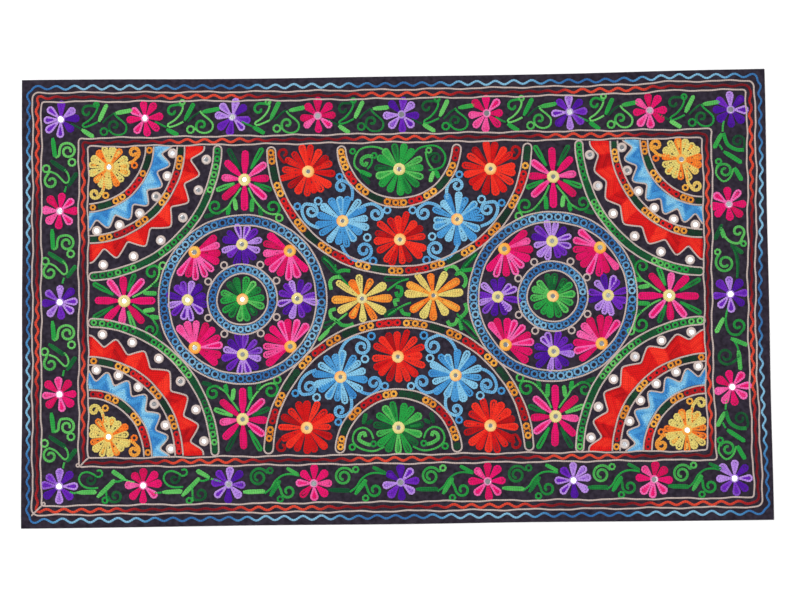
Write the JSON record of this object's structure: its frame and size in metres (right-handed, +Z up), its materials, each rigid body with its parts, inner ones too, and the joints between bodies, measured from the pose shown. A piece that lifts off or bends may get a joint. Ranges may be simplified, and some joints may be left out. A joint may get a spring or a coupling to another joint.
{
  "type": "embroidered tapestry",
  "caption": "Flat oblong dark cotton tapestry, chain stitched with flowers, wreaths, arches and corner fans, set with small round mirrors.",
  "frame": {"origin": "on the underside, below the middle of the whole piece", "axes": "+X along the long side, +Y across it towards the edge shown at the top, +Z up out of the stitched face"},
  "size_m": [1.525, 0.918, 0.0037],
  "materials": {
    "ground": "plain woven cotton, charcoal with a violet cast, matt",
    "mirror": "small hand-cut silvered glass, bright",
    "cord": "pinkish beige couched cotton cord, matt",
    "thread_red": "wool chain stitch, scarlet running to crimson",
    "thread_blue": "wool chain stitch, light blue running to mid blue",
    "thread_green": "wool chain stitch, dark green running to leaf green",
    "thread_pink": "wool chain stitch, magenta running to light pink",
    "thread_purple": "wool chain stitch, deep violet running to lavender",
    "thread_yellow": "wool chain stitch, pale yellow running to orange",
    "thread_mixed": "wool chain stitch in turns of orange, dark green and crimson"
  },
  "bodies": {
    "root": {"ground_cloth": "ground", "mirror_bottom_arch_1": "mirror", "mirror_bottom_arch_2": "mirror", "mirror_bottom_arch_3": "mirror", "mirror_bottom_arch_4": "mirror", "mirror_bottom_arch_5": "mirror", "mirror_bottom_arch_heart": "mirror", "mirror_centre_1": "mirror", "mirror_centre_2": "mirror", "mirror_corner_northeast": "mirror", "mirror_corner_northwest": "mirror", "mirror_corner_southeast": "mirror", "mirror_corner_southwest": "mirror", "mirror_left_wreath_east": "mirror", "mirror_left_wreath_heart": "mirror", "mirror_left_wreath_north": "mirror", "mirror_left_wreath_northeast": "mirror", "mirror_left_wreath_northwest": "mirror", "mirror_left_wreath_south": "mirror", "mirror_left_wreath_southeast": "mirror", "mirror_left_wreath_southwest": "mirror", "mirror_left_wreath_west": "mirror", "mirror_right_wreath_east": "mirror", "mirror_right_wreath_heart": "mirror", "mirror_right_wreath_north": "mirror", "mirror_right_wreath_northeast": "mirror", "mirror_right_wreath_northwest": "mirror", "mirror_right_wreath_south": "mirror", "mirror_right_wreath_southeast": "mirror", "mirror_right_wreath_southwest": "mirror", "mirror_right_wreath_west": "mirror", "mirror_star_1": "mirror", "mirror_star_2": "mirror", "mirror_star_3": "mirror", "mirror_star_4": "mirror", "mirror_star_5": "mirror", "mirror_star_6": "mirror", "mirror_top_arch_1": "mirror", "mirror_top_arch_2": "mirror", "mirror_top_arch_3": "mirror", "mirror_top_arch_4": "mirror", "mirror_top_arch_5": "mirror", "mirror_top_arch_heart": "mirror"}
  },
  "joints": []
}
